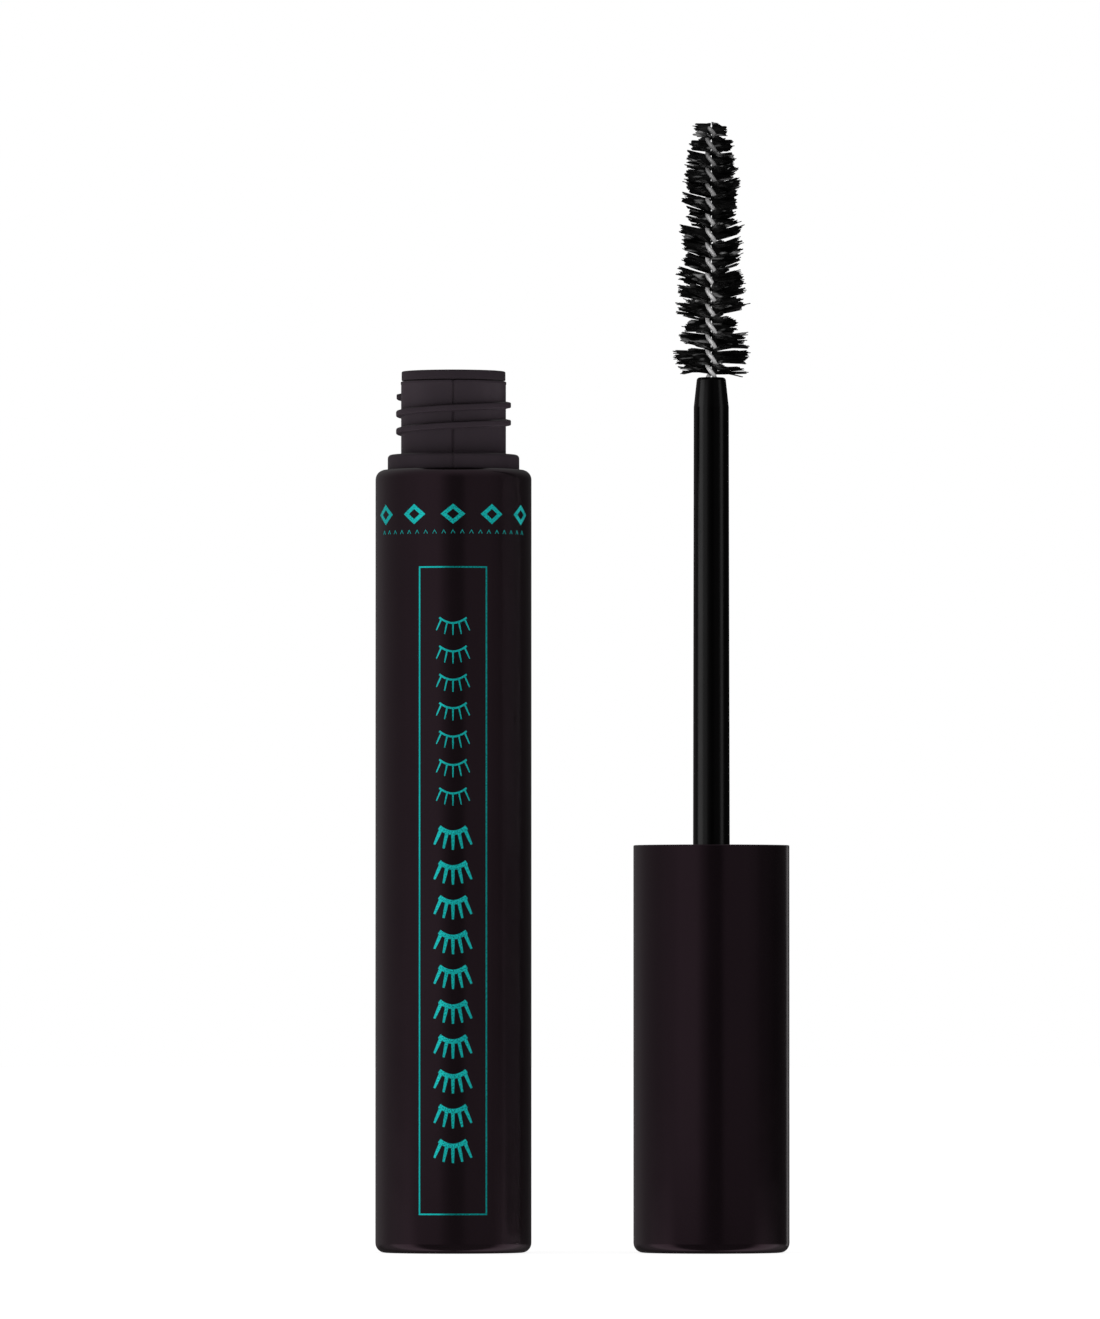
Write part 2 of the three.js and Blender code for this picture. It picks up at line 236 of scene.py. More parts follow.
def brick(low, high, angle, axis):
    """A box between two corners, turned about an upright axis."""
    vertices = []
    c, s = math.cos(angle), math.sin(angle)
    for z in (low[2], high[2]):
        for x, y in ((low[0], low[1]), (high[0], low[1]), (high[0], high[1]), (low[0], high[1])):
            vertices.append((axis[0] + x * c - y * s, axis[1] + x * s + y * c, z))
    faces = [(3, 2, 1, 0), (4, 5, 6, 7), (0, 1, 5, 4), (1, 2, 6, 5), (2, 3, 7, 6), (3, 0, 4, 7)]
    return vertices, faces


def together(*shapes):
    """Several shapes as one."""
    vertices, faces = [], []
    for shape_vertices, shape_faces in shapes:
        first = len(vertices)
        vertices.extend(shape_vertices)
        faces.extend(tuple(first + i for i in face) for face in shape_faces)
    return vertices, faces


def piece(name, shape, material, body, replaced=(), sharp_deg=40):
    """Makes the mesh object of a shape, in metres, and puts it on its CAD body."""
    vertices, faces = shape
    mesh = bpy.data.meshes.new(name)
    mesh.from_pydata([(x * MM, y * MM, z * MM) for x, y, z in vertices], [], faces)
    work = bmesh.new()
    work.from_mesh(mesh)
    bmesh.ops.recalc_face_normals(work, faces=work.faces)
    work.to_mesh(mesh)
    work.free()
    mesh.shade_smooth()
    mesh.set_sharp_from_angle(angle=math.radians(sharp_deg))
    mesh.materials.append(material)
    obj = bpy.data.objects.new(name, mesh)
    bpy.context.scene.collection.objects.link(obj)
    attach(obj, body)
    if replaced:
        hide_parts(*replaced)
    return obj


# ---------------------------------------------------------------------------------------- materials


def grey(value):
    return (value, value, value)


def new_material(name):
    material = bpy.data.materials.new(name)
    material.use_nodes = True
    tree = material.node_tree
    return material, tree, tree.nodes["Principled BSDF"]


def noise(tree, size_mm, detail=3.0, stretch=(1, 1, 1)):
    """Noise with features of about the size given, in the piece's own space."""
    place = tree.nodes.new("ShaderNodeTexCoord")
    scale = tree.nodes.new("ShaderNodeMapping")
    scale.inputs["Scale"].default_value = stretch
    texture = tree.nodes.new("ShaderNodeTexNoise")
    texture.inputs["Scale"].default_value = 1 / (size_mm * MM)
    texture.inputs["Detail"].default_value = detail
    tree.links.new(place.outputs["Object"], scale.inputs["Vector"])
    tree.links.new(scale.outputs["Vector"], texture.inputs["Vector"])
    return texture.outputs["Fac"]


def spread(tree, value, low, high, from_low=0.3, from_high=0.7):
    """A number from low to high as value goes from from_low to from_high, where most noise lies."""
    node = tree.nodes.new("ShaderNodeMapRange")
    node.inputs["From Min"].default_value = from_low
    node.inputs["From Max"].default_value = from_high
    node.inputs["To Min"].default_value = low
    node.inputs["To Max"].default_value = high
    tree.links.new(value, node.inputs["Value"])
    return node.outputs["Result"]


def shade_between(tree, value, dark, light, from_low=0.3, from_high=0.7):
    """A colour from dark to light as value goes from from_low to from_high, where most noise lies."""
    ramp = tree.nodes.new("ShaderNodeValToRGB")
    ramp.color_ramp.elements[0].position = from_low
    ramp.color_ramp.elements[0].color = (*dark, 1)
    ramp.color_ramp.elements[1].position = from_high
    ramp.color_ramp.elements[1].color = (*light, 1)
    tree.links.new(value, ramp.inputs["Fac"])
    return ramp.outputs["Color"]


def mixed(tree, share, a, b):
    """The colour a where share is 0 and b where it is 1. b may also be a plain grey, as a number."""
    node = tree.nodes.new("ShaderNodeMix")
    node.data_type = "RGBA"
    factor, first, second = (node.inputs[i] for i in (0, 6, 7))
    tree.links.new(share, factor)
    tree.links.new(a, first)
    if isinstance(b, bpy.types.NodeSocket):
        tree.links.new(b, second)
    else:
        second.default_value = (*grey(b), 1)
    return node.outputs[2]


def height_share(tree, low_mm, high_mm):
    """A number from 0 to 1 between two heights in the piece's own space."""
    place = tree.nodes.new("ShaderNodeTexCoord")
    parts = tree.nodes.new("ShaderNodeSeparateXYZ")
    tree.links.new(place.outputs["Object"], parts.inputs[0])
    return spread(tree, parts.outputs["Z"], 0, 1, low_mm * MM, high_mm * MM)


def bump(tree, shader, value, depth_mm):
    node = tree.nodes.new("ShaderNodeBump")
    node.inputs["Strength"].default_value = 1
    node.inputs["Distance"].default_value = depth_mm * MM
    tree.links.new(value, node.inputs["Height"])
    tree.links.new(node.outputs["Normal"], shader.inputs["Normal"])


def moulded(name, colour, roughness, specular, tint=(1, 1, 1)):
    """Moulded plastic: faint clouding of the colour, uneven gloss and the slight ripple of the mould."""
    material, tree, shader = new_material(name)
    shader.inputs["Specular IOR Level"].default_value = specular
    shader.inputs["Specular Tint"].default_value = (*tint, 1)
    less, more = 0.85, 1.15
    cloud = noise(tree, size_mm=6.0, stretch=(1, 1, 0.4))
    dark = [part * less for part in colour]
    light = [part * more for part in colour]
    tree.links.new(shade_between(tree, cloud, dark, light), shader.inputs["Base Color"])
    haze = noise(tree, size_mm=3.0, detail=2)
    tree.links.new(spread(tree, haze, roughness * less, roughness * more), shader.inputs["Roughness"])
    ripple = noise(tree, size_mm=4.0, detail=1)
    bump(tree, shader, ripple, depth_mm=0.0015)
    return material


def foil(name, metallic):
    """Hot-stamped metal foil: slightly uneven in colour, with a fine grain."""
    material, tree, shader = new_material(name)
    shader.inputs["Metallic"].default_value = metallic
    cloud = noise(tree, size_mm=1.6, detail=2, stretch=(1, 1, 0.5))
    colour = shade_between(tree, cloud, (0.012, 0.84, 0.81), (0.02, 1.0, 0.95))
    tree.links.new(colour, shader.inputs["Base Color"])
    grain = noise(tree, size_mm=0.12, detail=4)
    tree.links.new(spread(tree, grain, 0.25, 0.31), shader.inputs["Roughness"])
    bump(tree, shader, grain, depth_mm=0.0004)
    return material


def drawn_wire(name, shade_foot=103.0, shade_top=111.0):
    """Drawn wire with fine marks along it. Between two heights its colour is painted darker towards the
    top, as painted shade.
    """
    material, tree, shader = new_material(name)
    shader.inputs["Metallic"].default_value = 0.2
    marks = noise(tree, size_mm=0.12, detail=4, stretch=(1, 1, 0.15))
    unshaded = shade_between(tree, marks, grey(0.68), grey(0.95))
    painted_shade = shade_between(tree, marks, grey(0.22), grey(0.32))
    colour = mixed(tree, height_share(tree, shade_foot, shade_top), unshaded, painted_shade)
    tree.links.new(colour, shader.inputs["Base Color"])
    tree.links.new(spread(tree, marks, 0.34, 0.5), shader.inputs["Roughness"])
    bump(tree, shader, marks, depth_mm=0.004)
    return material


def nylon(name):
    """Black filaments, duller where formula has dried on them, with a few greyer streaks painted into the
    colour as glints.
    """
    material, tree, shader = new_material(name)
    coating = noise(tree, size_mm=0.7, detail=4)
    painted_glints = noise(tree, size_mm=0.8, detail=1, stretch=(0.4, 0.4, 1.4))
    colour = shade_between(tree, painted_glints, grey(0.001), grey(0.13), from_low=0.61, from_high=0.73)
    tree.links.new(colour, shader.inputs["Base Color"])
    shader.inputs["Specular IOR Level"].default_value = 0.3
    tree.links.new(spread(tree, coating, 0.14, 0.5), shader.inputs["Roughness"])
    return material


def cream(name):
    """The formula: a near-black cream, stirred into soft ridges."""
    material, tree, shader = new_material(name)
    swirl = noise(tree, size_mm=3.0, detail=3)
    colour = shade_between(tree, swirl, grey(0.002), grey(0.005))
    tree.links.new(colour, shader.inputs["Base Color"])
    tree.links.new(spread(tree, swirl, 0.12, 0.3), shader.inputs["Roughness"])
    bump(tree, shader, swirl, depth_mm=0.15)
    return material


SHELL_TINT = (1.0, 0.66, 0.84)
# The case and the cap are one black plastic. The cap's darker base colour is painted shade, a shaded copy
# of the case's colour.
CASE_BLACK = moulded("case_black", (0.0067, 0.0045, 0.0054), 0.16, specular=0.6, tint=SHELL_TINT)
CAP_BLACK = moulded("cap_black", (0.0039, 0.0026, 0.0032), 0.16, specular=0.6, tint=SHELL_TINT)
NECK_BLACK = moulded("neck_black", (0.043, 0.0325, 0.0405), 0.34, specular=0.12)
WIPER_BLACK = moulded("wiper_black", (0.037, 0.028, 0.035), 0.4, specular=0.12)
LINER_BLACK = moulded("liner_black", (0.010, 0.008, 0.009), 0.35, specular=0.3)
ROD_BLACK = moulded("rod_black", grey(0.0002), 0.24, specular=0.15)
TEAL_FOIL = foil("teal_foil", 0.65)
LINE_FOIL = foil("teal_foil_line", 0.92)
WIRE_STEEL = drawn_wire("wire_steel")
NYLON_BLACK = nylon("nylon_black")
CREAM_BLACK = cream("cream_black")


# ------------------------------------------------------------------------------------- case and cap


def end_face(outer_r, ring_r=5.5, ring_half=0.12, ring_depth=0.12, ring_edge_r=0.03):
    """The corners of a closed end, from its middle out, with a fine moulded ring in it."""
    return [
        (0, 0, 0),
        (ring_r - ring_half, 0, ring_edge_r),
        (ring_r - ring_half / 2, ring_depth, ring_edge_r),
        (ring_r + ring_half / 2, ring_depth, ring_edge_r),
        (ring_r + ring_half, 0, ring_edge_r),
        (outer_r, 0, EDGE_R),
    ]


def make_case():
    height = CASE_HIGH.z
    inner_r = CASE_R - WALL
    mouth_r = BOTTLE_R + MOUTH_GAP
    mouth_foot = height - MOUTH_LIP
    corners = end_face(CASE_R) + [
        (CASE_R, height, EDGE_R),
        (mouth_r, height, 0.04),
        (mouth_r, mouth_foot, 0),
        (inner_r, mouth_foot - (inner_r - mouth_r), 0),
        (inner_r, FLOOR, 0.3),
        (0, FLOOR, 0),
    ]
    shape = lathe(rounded(corners), TUBE_AXIS)
    piece("case_shell", shape, CASE_BLACK, "tube", ["outer_shell"])


def make_cap():
    height = CAP_HIGH.z
    inner_r = CASE_R - WALL
    corners = end_face(CASE_R) + [
        (CASE_R, height, 0.12),
        (inner_r, height, 0.2),
        (inner_r, FLOOR, 0.3),
        (0, FLOOR, 0),
    ]
    ribs = []
    for rib in range(RIB_COUNT):
        low = (inner_r - RIB_DEPTH, -FIN_THICK / 2, FLOOR - BITE)
        high = (inner_r + WALL / 2, FIN_THICK / 2, LINER_LOW.z - SETBACK)
        ribs.append(brick(low, high, 2 * math.pi * rib / RIB_COUNT, WAND_AXIS))
    shape = together(lathe(rounded(corners), WAND_AXIS), *ribs)
    piece("cap_case", shape, CAP_BLACK, "cap_and_brush", ["cap_shell"])


# ------------------------------------------------------------------- bottle, wiper, formula and liner


def screw_ridge(wall_r, reach, foot, turns, axis, start_angle):
    """A right-handed ridge on a wall, blunt at both ends. It stands inwards if reach is negative."""
    corners = [
        (-THREAD_BITE, -THREAD_ROOT / 2, 0),
        (1, -THREAD_CREST / 2, THREAD_EDGE_R),
        (1, THREAD_CREST / 2, THREAD_EDGE_R),
        (-THREAD_BITE, THREAD_ROOT / 2, 0),
    ]
    section = rounded([(x * abs(reach), z, rounding) for x, z, rounding in corners])
    outwards = math.copysign(1, reach)
    steps = round(turns * THREAD_STEPS)
    smallest = 0.02  # the ridge's size at its very ends, as a share
    vertices, faces = [], []
    for step in range(steps + 1):
        share = step / steps
        angle = start_angle + share * turns * 2 * math.pi
        from_end = min(1.0, min(share, 1 - share) * turns / THREAD_END)
        size = smallest + (1 - smallest) * math.sqrt(1 - (1 - from_end) ** 2)
        for x, z in section:
            radius = wall_r + outwards * x * (size if x > 0 else 1)
            height = foot + share * turns * PITCH + z * size
            vertices.append(around(axis, radius, angle, height))
    count = len(section)
    for ring in range(steps):
        for i in range(count):
            a, b = ring * count + i, ring * count + (i + 1) % count
            faces.append((a, b, b + count, a + count))
    faces.append(tuple(range(count - 1, -1, -1)))
    faces.append(tuple(range(len(vertices) - count, len(vertices))))
    return vertices, faces


def parting_line(angle, radius, height):
    """The fine groove left by the mould's two halves, down the front and the back of neck and collar."""
    on_line = math.isclose(abs(math.sin(angle)), 1, abs_tol=1e-6)
    outside = radius > NECK_R - 0.02 and height > CASE_HIGH.z - 1
    return PARTING_DEPTH if on_line and outside else 0


def make_bottle():
    foot = BOTTLE_LOW.z
    neck_top = BOTTLE_HIGH.z
    cavity_r = BOTTLE_R - BOTTLE_WALL
    rim_r = NECK_R + 0.04
    rim_foot = neck_top - 0.32
    corners = [
        (0, foot, 0),
        (BOTTLE_R, foot, EDGE_R),
        (BOTTLE_R, COLLAR_TOP, 0.4),
        (NECK_R, COLLAR_TOP, 0.2),
        (NECK_R, rim_foot, 0),
        (rim_r, rim_foot + 0.06, 0.03),
        (rim_r, neck_top, 0.09),
        (NECK_BORE_R, neck_top, 0.05),
        (NECK_BORE_R, NECK_BORE_FOOT, 0.3),
        (cavity_r, NECK_BORE_FOOT - (cavity_r - NECK_BORE_R), 0.5),
        (cavity_r, foot + BOTTLE_WALL, 0.8),
        (0, foot + BOTTLE_WALL, 0),
    ]
    body = lathe(rounded(corners), TUBE_AXIS, dent=parting_line)
    thread = screw_ridge(NECK_R, THREAD_REACH, THREAD_FOOT, THREAD_TURNS, TUBE_AXIS, THREAD_START)
    piece("bottle", together(body, thread), NECK_BLACK, "tube", ["inner_bottle"])


def make_wiper():
    foot, top = WIPER_LOW.z, WIPER_HIGH.z
    seat = BOTTLE_HIGH.z + WIPER_SEAT_GAP
    sleeve_r = NECK_BORE_R - GAP
    sleeve_foot = WIPER_CONE_TOP - 0.4
    corners = [
        (WIPER_LIP_R, foot, 0.05),
        (WIPER_LIP_R + WIPER_LIP_WALL, foot, 0.05),
        (sleeve_r, sleeve_foot, 0.3),
        (sleeve_r, seat, 0.05),
        (FLANGE_R, seat, 0.08),
        (FLANGE_R, top, 0.14),
        (WIPER_BORE_R + WIPER_LEAD, top, 0.15),
        (WIPER_BORE_R, top - WIPER_LEAD, 0.15),
        (WIPER_BORE_R, WIPER_CONE_TOP, 0.5),
    ]
    shape = lathe(rounded(corners, closed=True), TUBE_AXIS, closed=True)
    piece("wiper_insert", shape, WIPER_BLACK, "tube", ["wiper"])


def make_formula():
    foot, top = FORMULA_LOW.z, FORMULA_HIGH.z
    dip_foot = top - FORMULA_DIP
    corners = [
        (0, foot, 0),
        (FORMULA_R, foot, 0.8),
        (FORMULA_R, top, 0.05),
        (FORMULA_R - 0.6, top - 0.4, 0.3),
        (FORMULA_DIP_R, top - 0.7, 1.0),
        (FORMULA_DIP_R / 2, dip_foot + 0.4, 1.0),
        (0, dip_foot, 0),
    ]
    shape = lathe(rounded(corners), TUBE_AXIS)
    piece("formula", shape, CREAM_BLACK, "tube", ["mascara_formula"])


def make_liner():
    foot, rim = LINER_LOW.z, LINER_HIGH.z
    web_foot = LINER_WEB_TOP - LINER_WEB_H
    corners = [
        (SOCKET_BORE_R, SOCKET_FOOT, 0.05),
        (SOCKET_R, SOCKET_FOOT, 0.1),
        (SOCKET_R, web_foot, 0.2),
        (LINER_SKIRT_R, web_foot, 0.2),
        (LINER_SKIRT_R, foot, 0.05),
        (LINER_R, foot, 0.1),
        (LINER_R, rim, 0.1),
        (LINER_BORE_R, rim, 0.15),
        (LINER_BORE_R, LINER_WEB_TOP, 0.2),
        (SOCKET_BORE_R, LINER_WEB_TOP, 0.05),
    ]
    fins = []
    for fin in range(FIN_COUNT):
        low = (SOCKET_R - BITE, -FIN_THICK / 2, SOCKET_FOOT + SETBACK)
        high = (LINER_SKIRT_R + BITE, FIN_THICK / 2, web_foot + BITE)
        fins.append(brick(low, high, 2 * math.pi * fin / FIN_COUNT, WAND_AXIS))
    body = lathe(rounded(corners, closed=True), WAND_AXIS, closed=True)
    reach = -THREAD_REACH
    thread = screw_ridge(LINER_BORE_R, reach, LINER_THREAD_FOOT, LINER_THREAD_TURNS, WAND_AXIS, 0)
    shape = together(body, thread, *fins)
    piece("liner", shape, LINER_BLACK, "cap_and_brush", ["cap_liner"])


# ------------------------------------------------------------------------------------- wand and wire


def make_rod():
    foot, top = ROD_LOW.z, ROD_HIGH.z
    seal_foot = LINER_WEB_TOP + GAP
    shank_r = SOCKET_BORE_R - GAP
    barb_top = SOCKET_FOOT - GAP
    plug_top = SEAL_TOP + PLUG_H
    corners = [
        (0, foot, 0),
        (shank_r - SHANK_LEAD, foot, 0.1),
        (BARB_R, barb_top - BARB_H, 0.1),
        (BARB_R, barb_top, 0.05),
        (shank_r, barb_top, 0.05),
        (shank_r, seal_foot, 0.05),
        (SEAL_R, seal_foot, 0.1),
        (SEAL_R, SEAL_TOP, 0.15),
        (PLUG_R, SEAL_TOP, 0.15),
        (PLUG_R - PLUG_TAPER, plug_top, 0.2),
        (ROD_R, plug_top, 0.3),
        (ROD_TOP_R, ROD_TIP_FOOT, 0.4),
        (ROD_TIP_R, top, 0.32),
        (WIRE_HOLE_R, top, 0.08),
        (WIRE_HOLE_R, WIRE_HOLE_FOOT, 0.1),
        (0, WIRE_HOLE_FOOT, 0),
    ]
    shape = lathe(rounded(corners), WAND_AXIS)
    piece("rod", shape, ROD_BLACK, "wand_stem", ["wand_rod"])


# The filaments hold the wire's two legs a little apart. In the CAD model they are thicker, and touch.
LEG_R = 0.22
LEG_OFFSET = 0.4


def twist_angle(height):
    """The direction in which the filaments leave the wire at a height. It turns left-handed."""
    return -2 * math.pi * (height - BRUSH_FOOT) / TWIST


def make_wire():
    """The wire's two legs, wound about each other and rounded off at the top."""
    foot, top = WIRE_LOW.z, WIRE_HIGH.z
    steps = round(WIRE_STEPS * (top - foot) / TWIST)
    least = 0.05  # keeps the very end from closing to a point
    legs = []
    for leg in (0, 1):
        path, radii = [], []
        for step in range(steps + 1):
            height = foot + (top - foot) * step / steps
            angle = twist_angle(height) + math.pi / 2 + leg * math.pi
            path.append(Vector(around(WAND_AXIS, LEG_OFFSET, angle, height)))
            from_top = min(1, (top - height) / LEG_R)
            radii.append(LEG_R * math.sqrt(max(least, 1 - (1 - from_top) ** 2)))
        legs.append(rod_along(path, radii, sides=14, up=Vector((1, 0, 0))))
    piece("twisted_wire", together(*legs), WIRE_STEEL, "cap_and_brush", ["brush_wire"])


# ----------------------------------------------------------------------------------------- filaments

BRUSH_TIP = 115.6
BRUSH_FOOT_R = 3.4
BRUSH_TIP_R = 1.3
BRUSH_FULLNESS = 2.2  # the higher it is, the later the brush starts to narrow
BRUSH_ROUNDING = 0.6  # the lower it is, the rounder the tip
BRUSH_WAIST = 0.2  # how much is taken off half-way up
PINCHES = ((95.0, 0.74), (100.6, 0.72), (105.4, 0.70))  # heights where it is narrower, and what is left
PINCH_HALF = 0.6
END_TILT = 1  # how far the filaments lean upwards at the brush's ends, in degrees
MIDDLE_TILT = 15  # and how much further in its middle
LOWEST_TUFT = 90.5
QUARTERS = 4  # tufts in a turn: to the right, the front, the left and the back


def kind_of_tuft(bundles, filaments, turn, gather, rise, fan=0, parting=0):
    """What a tuft is like: its bundles, the filaments in each, and its turn on the wire in degrees.

    gather is how much of that turn is drawn in at the tips, and parting how many degrees it opens there to
    show the wire. rise is how much of its climb along the wire the tips keep, and fan how much the bundles
    differ in tilt.
    """
    return {
        "bundles": bundles,
        "filaments": filaments,
        "spread": math.radians(turn),
        "gather": gather,
        "parting": math.radians(parting),
        "rise": rise,
        "fan": fan,
    }


SIDE_TUFT = kind_of_tuft(bundles=9, filaments=11, turn=130, gather=0.75, rise=1.1, fan=0.03)
FACE_TUFT = kind_of_tuft(bundles=6, filaments=14, turn=76, gather=0, rise=1.75, fan=0.05, parting=16)
END_TUFT = kind_of_tuft(bundles=9, filaments=4, turn=120, gather=0.5, rise=0.8, fan=0.12)
TIP_TUFT = kind_of_tuft(bundles=8, filaments=16, turn=180, gather=0, rise=1)
TIP_FAN = 0.45  # the share of its turn that the tip's tuft fills
TIP_REACH = (0.7, 0.95)  # how far its bundles reach, as shares of the tip's radius
TIP_TILT = -0.05
TIP_DROP = 0.1  # how far below the wire's end it stands

# How much things vary, as standard deviations: heights and bends in millimetres, angles and tilts in
# radians, and the rest as shares. First a tuft, then a bundle in it, then a filament in that.
TUFT_ANGLE_VARIES = 0.1
TUFT_HEIGHT_VARIES = 0.07
TUFT_SPREAD_VARIES = 0.12
TUFT_REACH_VARIES = 0.04
TUFT_TILT_VARIES = 0.07
BUNDLE_SHARE_VARIES = 0.03
BUNDLE_REACH_VARIES = 0.055
SHARE_VARIES = 0.06
TIP_ANGLE_VARIES = 0.03
REACH_VARIES = 0.045
TILT_VARIES = 0.014
BEND_VARIES = (0.06, 0.06, 0.05)
STRAY_SHARE = 0.1  # of the filaments, which vary more than the rest
STRAY = 2.0  # and how many times as much
CLING = 0.35  # how far a filament's tip is drawn to the middle of its bundle, as a share
SAG = 0.12  # how far its middle hangs, as a share of its rise
START_R = 0.12  # where it starts, off the wire's axis
FILAMENT_R = 0.06
FILAMENT_TIP_R = 0.045
FILAMENT_STEPS = 3


def brush_share(height):
    """How far up the brush a height is, from 0 to 1."""
    return min(1.0, max(0.0, (height - BRUSH_FOOT) / (BRUSH_TIP - BRUSH_FOOT)))


def brush_radius(height):
    """The brush's outside radius: it narrows slowly, is pinched in three places and has a rounded tip."""
    share = brush_share(height)
    width_left = (1 - share**BRUSH_FULLNESS) ** BRUSH_ROUNDING
    radius = BRUSH_TIP_R + (BRUSH_FOOT_R - BRUSH_TIP_R) * width_left
    radius -= BRUSH_WAIST * math.sin(math.pi * share)
    for pinch_height, left in PINCHES:
        radius *= 1 - (1 - left) * math.exp(-(((height - pinch_height) / PINCH_HALF) ** 2))
    return radius


def brush_tilt(height):
    """How far the filaments lean upwards, in radians: most in the middle of the brush."""
    return math.radians(END_TILT + MIDDLE_TILT * math.sin(math.pi * brush_share(height)) ** 1.5)


def filament(rng, tuft, bundle):
    """One filament: a bar that starts between the wire's legs and bends a little towards its bundle."""
    share = bundle["share"] + rng.gauss(0, SHARE_VARIES)
    stray = STRAY if rng.random() < STRAY_SHARE else 1.0
    angle = tuft["angle"] - tuft["spread"] * share
    tip_share = share + CLING * (bundle["share"] - share)
    tip_turn = -tuft["spread"] * tip_share * (1 - tuft["gather"])
    tip_turn += math.copysign(tuft["parting"], tip_turn) + rng.gauss(0, TIP_ANGLE_VARIES) * stray
    reach = bundle["reach"] * (1 + rng.gauss(0, REACH_VARIES) * stray)
    slope = math.tan(bundle["tilt"] + rng.gauss(0, TILT_VARIES) * stray)
    climb = TWIST * tuft["spread"] / (2 * math.pi)
    start = Vector(around(WAND_AXIS, START_R, angle, tuft["height"] + climb * share))
    tip_height = tuft["height"] + climb * tip_share * tuft["rise"] + reach * slope
    end = Vector(around(WAND_AXIS, reach, tuft["angle"] + tip_turn, tip_height))
    bend = Vector([rng.gauss(0, varies) for varies in BEND_VARIES]) - Vector((0, 0, SAG * reach * slope))
    middle = start.lerp(end, 0.5) + bend
    path, radii = [], []
    for step in range(FILAMENT_STEPS + 1):
        t = step / FILAMENT_STEPS
        path.append(start * (1 - t) ** 2 + middle * 2 * t * (1 - t) + end * t**2)
        radii.append(FILAMENT_R + (FILAMENT_TIP_R - FILAMENT_R) * t)
    return rod_along(path, radii, sides=4)


def tuft_at(rng, height, angle, kind):
    """The filaments that leave the wire near a height and an angle, stuck in bundles by formula."""
    tuft = {
        **kind,
        "angle": angle + rng.gauss(0, TUFT_ANGLE_VARIES),
        "height": height + rng.gauss(0, TUFT_HEIGHT_VARIES),
        "spread": kind["spread"] * (1 + rng.gauss(0, TUFT_SPREAD_VARIES)),
    }
    reach = brush_radius(height) * (1 + rng.gauss(0, TUFT_REACH_VARIES))
    tilt = brush_tilt(height) + rng.gauss(0, TUFT_TILT_VARIES)
    bars = []
    for i in range(kind["bundles"]):
        bundle = {
            "share": (i + 0.5) / kind["bundles"] - 0.5 + rng.gauss(0, BUNDLE_SHARE_VARIES),
            "reach": reach * (1 + rng.gauss(0, BUNDLE_REACH_VARIES)),
            "tilt": tilt + rng.gauss(0, kind["fan"]),
        }
        bars += [filament(rng, tuft, bundle) for _ in range(kind["filaments"])]
    return bars


def tip_tuft(rng, angle):
    """The short filaments that cover the wire's end."""
    tuft = {**TIP_TUFT, "angle": angle, "height": WIRE_HIGH.z - TIP_DROP}
    bars = []
    for i in range(tuft["bundles"]):
        bundle = {
            "share": ((i + 0.5) / tuft["bundles"] - 0.5) * TIP_FAN,
            "reach": BRUSH_TIP_R * rng.uniform(*TIP_REACH),
            "tilt": TIP_TILT,
        }
        bars += [filament(rng, tuft, bundle) for _ in range(tuft["filaments"])]
    return bars


def make_filaments():
    """One piece for each turn and each side of the wire, made of the tufts that leave it there."""
    rng = random.Random(7)
    rise = TWIST / QUARTERS
    for turn in range(TURNS):
        for side in range(SIDES):
            bars = []
            last = QUARTERS + 1 if turn == TURNS - 1 else QUARTERS
            for quarter in range(last):
                height = max(LOWEST_TUFT, BRUSH_FOOT + turn * TWIST + quarter * rise)
                angle = twist_angle(height) + side * math.pi
                kind = FACE_TUFT if quarter % 2 else SIDE_TUFT
                if turn == 0 and quarter == 0:
                    kind = END_TUFT
                bars += tuft_at(rng, height, angle, kind)
            if turn == TURNS - 1:
                bars += tip_tuft(rng, side * math.pi)
            number = f"{turn * SIDES + side + 1:02d}"
            name, row = f"filaments_{number}", f"bristle_row_{number}"
            piece(name, together(*bars), NYLON_BLACK, "cap_and_brush", [row], sharp_deg=60)


# ------------------------------------------------------------------------------------- foil ornament

FOIL_DEPTH = 0.01  # how far the foil is pressed into the case
FOIL_PROUD = 0.02  # and how far it stands out of it
FOIL_STEP = 0.3  # longest stretch of foil without a bend round the case
FOIL_LINE = 0.16
MITRE_LIMIT = 0.3  # keeps sharp corners from running out to a point

BOLD_EYE = dict(lid_width=0.46, lash_width=0.36, lash_length=1.75)
BOLD_COUNT, BOLD_FOOT, BOLD_STEP = 10, 10.4, 3.55
FINE_EYE = dict(lid_width=0.2, lash_width=0.17, lash_length=1.25)
FINE_COUNT, FINE_FOOT, FINE_STEP = 7, 46.6, 2.9
EYE_HALF = 1.4  # half the width of a closed lid
EYE_SAG = 0.55  # how much lower its middle is than its ends
EYE_STEPS = 16
LASH_COUNT = 5
LASH_SPAN = 0.85  # the share of the lid that the lashes take up

LOZENGE_COUNT, LOZENGE_STEP, LOZENGE_HEIGHT = 5, 4.15, 75.5
LOZENGE_HALF, LOZENGE_UP, LOZENGE_LINE = 0.95, 0.78, 0.4
CHEVRON_COUNT, CHEVRON_STEP, CHEVRON_FOOT = 19, 0.95, 73.5
CHEVRON_HALF, CHEVRON_UP, CHEVRON_LINE = 0.2, 0.36, 0.05


